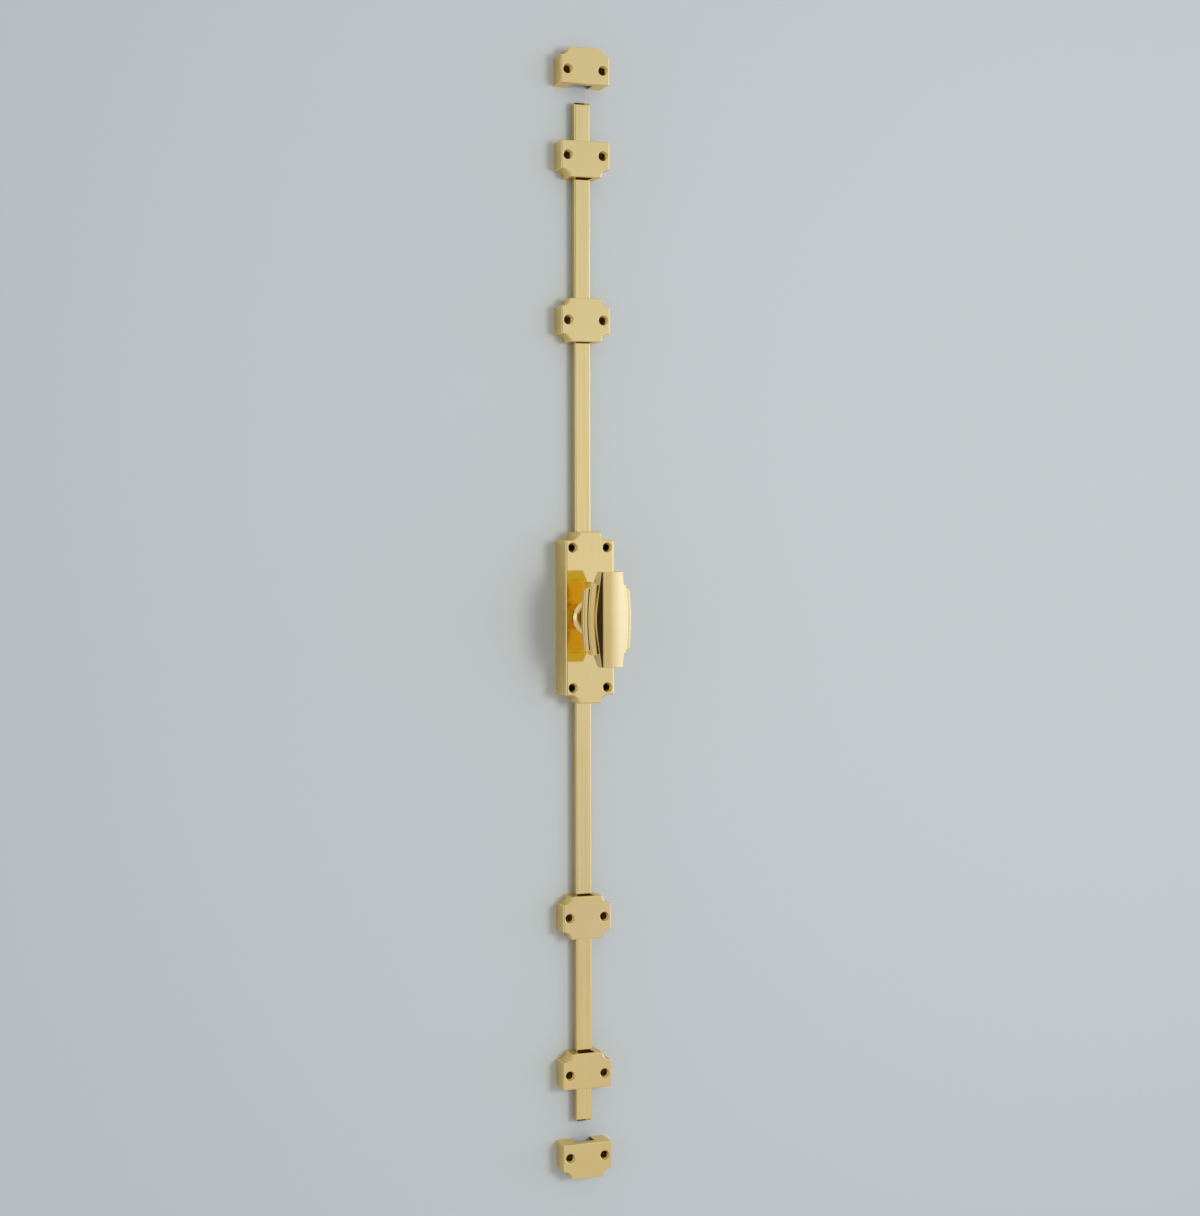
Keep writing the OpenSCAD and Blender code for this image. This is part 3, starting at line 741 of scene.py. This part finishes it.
def keep(name, node, turn):
    """A keep: a wall round three sides, a mouth in the straight edge and a blind socket behind it."""
    half_w, half_h, back, front, middle = half_size(node)
    upper = guide_quarter(half_w, half_h, True)
    lower = guide_quarter(half_w, half_h, False)
    around = whole(joined(mouth(KEEP_GROOVE, -half_h, -1), right_side(upper, lower)))
    profile = edge_profile(back, front, BACK_EDGE, GUIDE_EDGE, (KEEP_ROOF,))
    feet, over = split_at_roof(profile)
    stop = np.full(len(feet), KEEP_REACH - half_h)
    walls, patches = side_patches([around], profile, [lintel(KEEP_GROOVE, -half_h, -1)], over)
    cast_with_painted_shade = groove(KEEP_GROOVE, KEEP_ROOF, -half_h - feet[:, 0], stop, feet, is_blind=True)
    drilled_with_painted_shade = []
    holes = guide_holes(node, turn, middle)
    rims = drill(holes, front, back, (patches, drilled_with_painted_shade, drilled_with_painted_shade))
    patches.append(flat([offset(around, -GUIDE_EDGE), *rims], front, 1))
    corner = np.array(((-KEEP_GROOVE, stop[0]), (KEEP_GROOVE, stop[0])))
    foot = np.concatenate((offset(around, -BACK_EDGE), corner))
    drilled_with_painted_shade.append(flat([foot] + [ring(centre, HOLE_R) for centre in holes], back, -1))
    # The socket, holes and back take the darker cast and drilled tones, which are painted shade on top of
    # their rougher finish.
    layers = {brass: patches, brushed_brass: walls, drilled_brass_with_painted_shade: drilled_with_painted_shade, cast_brass_with_painted_shade: cast_with_painted_shade}
    build(name, node, layers, FRONT if turn > 0 else HALF_TURN @ FRONT, (0, 0, middle))


def led_in(patch, back, thick, tip):
    """A patch of a rod with its lead-in: near the tip its depth shrinks towards the back, so that the front
    falls away on an arc and then on a straight slope."""
    points, normals, faces = patch
    slope = np.radians(LEAD_SLOPE)
    run = np.clip(points[:, 2] - tip + LEAD_RUN, 0, None)
    on_arc = np.minimum(run, LEAD_R * np.sin(slope))
    height = np.sqrt(LEAD_R ** 2 - on_arc ** 2)
    fall = (LEAD_R - height + (run - on_arc) * np.tan(slope)) / thick
    steepness = on_arc / height / thick
    above = points[:, 1] - back
    share = 1 - fall
    moved = np.column_stack((points[:, 0], back + above * share, points[:, 2]))
    leaning = normals[:, 2] * share + above * steepness * normals[:, 1]
    return moved, np.column_stack((normals[:, 0] * share, normals[:, 1], leaning)), faces


def rod(name, node, turn):
    """A rod: a rounded rectangle across the bar carried along it, with a lead-in at its tip."""
    low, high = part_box(node)
    half_w, half_t = (high.x - low.x) / 2, (high.y - low.y) / 2
    depth = -(high.y + low.y) / 2
    start, tip = (low.z, high.z) if turn > 0 else (-high.z, -low.z)
    tip += LEAD_PAST
    quarter = square_quarter(half_w, half_t, ROD_EDGE + CORNER_EXTRA)
    section = whole(right_side(quarter, quarter))
    section = section[0] + np.array((0, depth)), section[1]
    rows = tip - LEAD_RUN + LEAD_R * np.sin(np.radians(np.linspace(0, LEAD_SLOPE, LEAD_STEPS + 1)))
    side = joined(
        upright(np.insert(rows, 0, start)),
        arc((-TIP_EDGE, tip - TIP_EDGE), TIP_EDGE, 0, 90, EDGE_STEPS),
    )
    patches = [
        sweep(section, side, closed=True),
        flat([section[0]], start, -1),
        flat([offset(section, -TIP_EDGE)], tip, 1),
    ]
    patches = [led_in(patch, -high.y, 2 * half_t, tip) for patch in patches]
    build(name, node, {drawn_brass: patches}, UPRIGHT if turn > 0 else HALF_TURN @ UPRIGHT)


# Knob

GRIP_HALF_LEN = half_size("knob_grip")[1]
GRIP_BACK = half_size("knob_grip")[2]


def branch(v):
    """Rise of a hyperbola from its middle: round there, and nearly straight further out."""
    return np.sqrt(v ** 2 + BARREL_WAIST ** 2) - BARREL_WAIST


def tail(v):
    """Depth of the barrel's back, which rises in a bevel towards both ends."""
    share = np.clip((np.abs(v) - GRIP_HALF_LEN + TAIL_RUN) / TAIL_RUN, 0, 1)
    return GRIP_BACK + 2 * LAYER + TAIL_BEVEL * share


def barrel(crown):
    """The barrel: a bar with bowed sides, a crowned front and rounded edges. Across it, half the section is
    the crown's arc, the front edge's arc and the back edge's arc; along it, the half width draws in on a
    hyperbola; and at both ends the section draws in along its own normals through a quarter round."""
    half_body = GRIP_HALF_LEN - GRIP_EDGE
    body = np.linspace(-half_body, half_body, BARREL_STEPS + 1)
    quarter = np.radians(np.linspace(0, 90, EDGE_STEPS + 1))[1:]
    cap = half_body + GRIP_EDGE * np.sin(quarter)
    v = np.concatenate((-cap[::-1], body, cap))[:, None]
    tilt = np.concatenate((-quarter[::-1], np.zeros(len(body)), quarter))[:, None]
    side = BARREL_HALF_W - BARREL_DRAW * branch(v) / branch(GRIP_HALF_LEN)
    reach = side - GRIP_EDGE
    inner_r = BARREL_CROWN_R - GRIP_EDGE
    axis = crown - BARREL_CROWN_R
    lean = np.arcsin(reach / inner_r)
    over_crown, round_front, round_back = [np.linspace(0, 1, steps + 1) for steps in BARREL_SECTION_STEPS]
    angle = np.concatenate((
        over_crown * lean,
        lean + round_front * (np.pi / 2 - lean),
        np.pi / 2 * (1 + round_back) + 0 * lean,
    ), axis=1)
    counts = [steps + 1 for steps in BARREL_SECTION_STEPS]
    centre_u = np.concatenate((0 * reach, reach, reach), axis=1)
    centre_w = np.concatenate((axis + 0 * reach, axis + inner_r * np.cos(lean), tail(v) + GRIP_EDGE), axis=1)
    radius = np.repeat(np.array((BARREL_CROWN_R, GRIP_EDGE, GRIP_EDGE)), counts)
    lean_u, lean_w = np.sin(angle), np.cos(angle)
    across = np.repeat(centre_u, counts, axis=1) + radius * lean_u
    depth = np.repeat(centre_w, counts, axis=1) + radius * lean_w
    rise = -(lean_u * np.gradient(across, v[:, 0], axis=0) + lean_w * np.gradient(depth, v[:, 0], axis=0))
    draw = GRIP_EDGE * (1 - np.cos(tilt))
    half = np.stack((across - draw * lean_u, v + 0 * across, depth - draw * lean_w), axis=-1)
    half_normal = np.stack(
        (lean_u * np.cos(tilt), rise * np.cos(tilt) + np.sin(tilt), lean_w * np.cos(tilt)), axis=-1)
    flip = np.array((-1, 1, 1))
    points = np.concatenate((flip * half[:, :0:-1], half), axis=1)
    normals = np.concatenate((flip * half_normal[:, :0:-1], half_normal), axis=1)
    count = points.shape[1]
    ends = [
        (points[row], np.tile((0.0, way, 0.0), (count, 1)), np.arange(count)[None])
        for row, way in ((0, -1), (-1, 1))
    ]
    return [grid(points, normals), *ends], [grid(points[:, (-1, 0)], normals[:, (-1, 0)])]


def bowed_side(half_w, half_len, corner):
    """Right-hand side of a bowed outline, from the lower end to the upper one: a corner that touches the end
    and the bow, the bow's own circle, and the other corner."""
    bow_r = (GRIP_HALF_LEN ** 2 + BARREL_DRAW ** 2) / (2 * BARREL_DRAW)
    middle = half_w - bow_r
    v = half_len - corner
    u = middle + np.sqrt((bow_r - corner) ** 2 - v ** 2)
    meet = np.degrees(np.arctan2(v, u - middle))
    return joined(
        arc((u, -v), corner, -90, -meet, BOW_CORNER_STEPS),
        arc((middle, 0), bow_r, -meet, meet, BOW_STEPS),
        arc((u, v), corner, meet, 90, BOW_CORNER_STEPS),
    )


def crowned_step(half_w, half_len, front, back, crown_r):
    """A step of the grip: a plate with a bowed outline, whose front is part of a cylinder that runs along it.
    A ball of the edge's radius, touching the wall and the front, is carried round the outline; its surface
    from the one contact to the other is the edge."""
    right = bowed_side(half_w, half_len, STEP_CORNER)
    across = np.linspace(1, -1, ACROSS_STEPS + 1)
    end_u = right[0][-1, 0] * across[1:-1]
    end = np.column_stack((end_u, np.full(len(end_u), half_len))), np.tile((0.0, 1.0), (len(end_u), 1))
    left = mirrored(right, (-1, 1), reverse=True)
    outline = joined(right, end, left, mirrored(end, (-1, -1)))
    axis = front - np.sqrt(crown_r ** 2 - half_w ** 2)
    reach = crown_r - STEP_EDGE
    ball = offset(outline, -STEP_EDGE)
    ball_w = axis + np.sqrt(reach ** 2 - ball[:, 0] ** 2)
    no_rise = np.zeros(len(ball))
    wall_way = np.column_stack((outline[1], no_rise))
    front_way = np.column_stack((ball[:, 0], no_rise, ball_w - axis)) / reach
    turn = np.arccos((wall_way * front_way).sum(axis=1))[None, :, None]
    share = np.linspace(0, 1, STEP_EDGE_STEPS + 1)[:, None, None]
    way = (np.sin((1 - share) * turn) * wall_way + np.sin(share * turn) * front_way) / np.sin(turn)
    edge = np.column_stack((ball, ball_w)) + STEP_EDGE * way
    foot = np.column_stack((outline[0], no_rise + back + BACK_EDGE))[None]
    wall = grid(np.concatenate((foot, edge)), np.concatenate((wall_way[None], way)), closed=True)
    rim = edge[-1, :len(right[0])]
    u = rim[:, :1] * across
    rise = np.sqrt(crown_r ** 2 - u ** 2)
    face = np.stack((u, rim[:, 1:2] + 0 * u, axis + rise), axis=-1)
    face_normal = np.stack((u, 0 * u, rise), axis=-1)
    back_edge = arc((-BACK_EDGE, back + BACK_EDGE), BACK_EDGE, -90, 0, BACK_STEPS)
    front_side = [wall, grid(face, face_normal), sweep(outline, back_edge, closed=True)]
    return front_side, [flat([offset(outline, -BACK_EDGE)], back, -1)]


def grip():
    """The grip: the barrel, whose back is bevelled towards its ends, and the two steps at its sides. Their
    backs lie in thin layers, so that no two faces coincide."""
    crown = half_size("knob_grip")[3]
    outer = GRIP_BACK + OUTER_STEP_T
    inner_w = BARREL_HALF_W + INNER_STEP_W
    outer_w = BARREL_HALF_W + 2 * STEP_W
    shapes = (
        barrel(crown),
        crowned_step(inner_w, INNER_STEP_HALF, outer + STEP_RISE, GRIP_BACK + LAYER, INNER_CROWN_R),
        crowned_step(outer_w, OUTER_STEP_HALF, outer, GRIP_BACK, OUTER_CROWN_R),
    )
    front_sides = [patch for shape in shapes for patch in shape[0]]
    step_backs = [patch for shape in shapes[1:] for patch in shape[1]]
    # The backs of the steps and of the barrel take deeper amber tones, which are painted shade under the
    # grip.
    build("grip", "knob_grip", {brass: front_sides, step_back_painted_shade: step_backs, barrel_back_painted_shade: shapes[0][1]})


def neck():
    """The neck, turned: a straight journal in the collar, then a waist between two parabolic flares."""
    back = -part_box("knob_neck")[1].y
    journal = -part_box("spindle_collar")[0].y + JOURNAL_SHOW
    waist = journal + WAIST_RUN
    depth = np.linspace(journal, GRIP_BACK + NECK_SUNK, STEM_STEPS + 1)
    share = np.where(depth < waist, (waist - depth) / WAIST_RUN, (depth - waist) / (GRIP_BACK - waist))
    widen = np.where(depth < waist, NECK_R - JOURNAL_STEP - WAIST_R, FLARE_R - WAIST_R)
    radius = WAIST_R + widen * share ** 2
    slope = np.gradient(radius, depth)
    stem = np.column_stack((radius, depth)), np.column_stack((np.ones(len(depth)), -slope))
    profiles = [
        line((NECK_R, back), (NECK_R, journal), (1, 0)),
        line((NECK_R, journal), (radius[0], journal), (0, 1)),
        stem,
    ]
    patches = [turned((0, 0), profile, TURNED_STEPS) for profile in profiles]
    patches.append(flat([ring((0, 0), NECK_R, TURNED_STEPS)], back, -1))
    patches.append(flat([ring((0, 0), radius[-1], TURNED_STEPS)], depth[-1], 1))
    build("neck", "knob_neck", {brass: patches})


gearbox_case()
backplate()
collar()
small_nodes()
guide("upper_inner_guide", "upper_mid_guide", 1, coved_top=True)
guide("lower_inner_guide", "lower_mid_guide", -1, coved_top=True)
guide("upper_outer_guide", "upper_end_guide", 1, coved_top=False)
guide("lower_outer_guide", "lower_end_guide", -1, coved_top=False)
keep("upper_socket", "upper_keep", 1)
keep("lower_socket", "lower_keep", -1)
rod("upper_bar", "upper_rod", 1)
rod("lower_bar", "lower_rod", -1)
grip()
neck()


# Stage

BACKING_GAP = 0.1 * MM
BACKING_SIZE = 12.0
BACKING_TONE = (0.565, 0.61, 0.565, 1)
LET_THROUGH = 4 * BACKING_GAP


def backing():
    """The pale board behind the bolt. It shows from the front only, and lets light through to the backs of
    the pieces that lie against it."""
    corner = np.array(((-1, -1), (1, -1), (1, 1), (-1, 1))) * BACKING_SIZE
    points = np.column_stack((corner[:, 0], np.full(len(corner), BACKING_GAP), corner[:, 1]))
    mesh = bpy.data.meshes.new("backing")
    mesh.from_pydata(points.tolist(), [], [(0, 1, 2, 3)])
    board = bpy.data.objects.new("backing", mesh)
    bpy.context.scene.collection.objects.link(board)
    material = bpy.data.materials.new("pale_board")
    make = node_maker(cleared(material))
    near = work_out(make, "LESS_THAN", make("ShaderNodeLightPath").outputs["Ray Length"], LET_THROUGH)
    open_here = work_out(make, "MAXIMUM", near, make("ShaderNodeNewGeometry").outputs["Backfacing"])
    paint = make("ShaderNodeBsdfDiffuse", Color=BACKING_TONE).outputs[0]
    through = make("ShaderNodeBsdfTransparent").outputs[0]
    mix = make("ShaderNodeMixShader", places={0: open_here, 1: paint, 2: through})
    make("ShaderNodeOutputMaterial", Surface=mix.outputs[0])
    mesh.materials.append(material)


# Studio light near the level of the bolt: azimuth from the front, positive to the right, and its colour there
LEVEL_LIGHT = (
    (-180, (0.66, 0.66, 0.68)),
    (-112, (0.90, 0.89, 1.00)),
    (-96, (1.00, 1.01, 1.22)),
    (-46, (0.94, 0.96, 1.18)),
    (-40, (0.04, 0.03, 0.02)),
    (-10.5, (0.04, 0.03, 0.02)),
    (-9, (0.62, 0.58, 0.58)),
    (14, (0.66, 0.62, 0.67)),
    (24, (0.78, 0.79, 1.01)),
    (42, (0.95, 1.00, 1.50)),
    (54, (1.04, 1.11, 1.84)),
    (79, (1.04, 1.11, 1.84)),
    (81, (4.5, 4.5, 6.0)),
    (88, (4.5, 4.5, 6.0)),
    (91, (0.95, 0.95, 1.2)),
    (110, (0.83, 0.84, 0.95)),
    (180, (0.66, 0.66, 0.68)),
)
# Share of the light by elevation
LIGHT_BY_HEIGHT = (
    (-90, (0.72, 0.70, 0.73)),
    (-20, (0.80, 0.77, 0.84)),
    (-11, (0.85, 0.82, 0.90)),
    (-4, (0.95, 0.94, 0.97)),
    (-1, (1.02, 1.02, 1.02)),
    (2, (1.0, 1.0, 1.0)),
    (8, (0.95, 0.95, 0.95)),
    (15, (0.88, 0.88, 0.88)),
    (90, (0.86, 0.86, 0.86)),
)
OVERHEAD_TONE = (0.80, 0.79, 0.83, 1)
ROOM_TONE = (0.53, 0.57, 0.57, 1)
# Elevation of the middle of the light near the level, and how far from it that light is full and gone
LEVEL_MIDDLE = 2.0
LEVEL_FULL = 10.0
LEVEL_GONE = 20.0


def ramp(make, angle, stops):
    """Colours by an angle, from stops in degrees that run from one end of the angle's range to the other."""
    low, high = stops[0][0], stops[-1][0]
    share = make("ShaderNodeMapRange", Value=angle, From_Min=np.radians(low), From_Max=np.radians(high))
    node = make("ShaderNodeValToRGB", Fac=share.outputs["Result"])
    elements = node.color_ramp.elements
    for index, (place, tone) in enumerate(stops):
        stop = elements[index] if index < 2 else elements.new(1.0)
        stop.position = (place - low) / (high - low)
        stop.color = (*tone, 1)
    return node.outputs["Color"]


def studio():
    """Soft light all round: a ramp over the azimuth near the bolt's own level, and an even tone above and
    below it, less towards the top and the bottom; straight views of it show a plain pale tone."""
    world = bpy.data.worlds.new("studio")
    bpy.context.scene.world = world
    make = node_maker(cleared(world))
    way = make("ShaderNodeSeparateXYZ", Vector=make("ShaderNodeTexCoord").outputs["Generated"])
    ahead = work_out(make, "MULTIPLY", way.outputs["Y"], -1.0)
    azimuth = work_out(make, "ARCTAN2", way.outputs["X"], ahead)
    height = work_out(make, "ARCSINE", way.outputs["Z"])
    above_middle = work_out(make, "SUBTRACT", height, np.radians(LEVEL_MIDDLE))
    fade = make("ShaderNodeMapRange", {"interpolation_type": "SMOOTHSTEP"},
                Value=work_out(make, "ABSOLUTE", above_middle),
                From_Min=np.radians(LEVEL_FULL), From_Max=np.radians(LEVEL_GONE))
    around = mixed(make, "RGBA", fade.outputs["Result"], ramp(make, azimuth, LEVEL_LIGHT), OVERHEAD_TONE)
    shaded = mixed(make, "RGBA", 1.0, around, ramp(make, height, LIGHT_BY_HEIGHT), "MULTIPLY")
    seen = mixed(make, "RGBA", make("ShaderNodeLightPath").outputs["Is Camera Ray"], shaded, ROOM_TONE)
    light = make("ShaderNodeBackground", Color=seen, Strength=1.0)
    make("ShaderNodeOutputWorld", Surface=light.outputs["Background"])


SIDE_LIGHT_PLACE = (0.66, -1.68, 0.15)
SIDE_LIGHT_SIZE = 0.5
SIDE_LIGHT_POWER = 10.8


def side_light():
    """A soft panel at the right, which the board shows as a slow gradient."""
    panel = bpy.data.lights.new("side_light", "AREA")
    panel.size = SIDE_LIGHT_SIZE
    panel.energy = SIDE_LIGHT_POWER
    lamp = bpy.data.objects.new("side_light", panel)
    bpy.context.scene.collection.objects.link(lamp)
    facing = (-Vector(SIDE_LIGHT_PLACE)).to_track_quat("-Z", "Y").to_matrix().to_4x4()
    lamp.matrix_world = Matrix.Translation(SIDE_LIGHT_PLACE) @ facing
    lamp.visible_camera = False
    lamp.visible_glossy = False


def camera():
    """The photograph's camera, turned from square on by its yaw, pitch and roll."""
    yaw, pitch, roll = np.radians((CAMERA_YAW, CAMERA_PITCH, CAMERA_ROLL))
    ahead = np.array((np.sin(yaw) * np.cos(pitch), np.cos(yaw) * np.cos(pitch), np.sin(pitch)))
    right = np.array((np.cos(yaw), -np.sin(yaw), 0))
    up = np.cross(right, ahead)
    across = np.cos(roll) * right + np.sin(roll) * up
    upward = np.cos(roll) * up - np.sin(roll) * right
    eye = bpy.data.objects.new("camera", bpy.data.cameras.new("camera"))
    bpy.context.scene.collection.objects.link(eye)
    turn = Matrix(np.column_stack((across, upward, -ahead)).tolist()).to_4x4()
    eye.matrix_world = Matrix.Translation(CAMERA_PLACE) @ turn
    eye.data.lens = CAMERA_LENS
    eye.data.sensor_width = CAMERA_SENSOR
    eye.data.shift_x = CAMERA_SHIFT
    bpy.context.scene.camera = eye


backing()
studio()
side_light()
camera()
bpy.context.scene.view_settings.view_transform = "Standard"
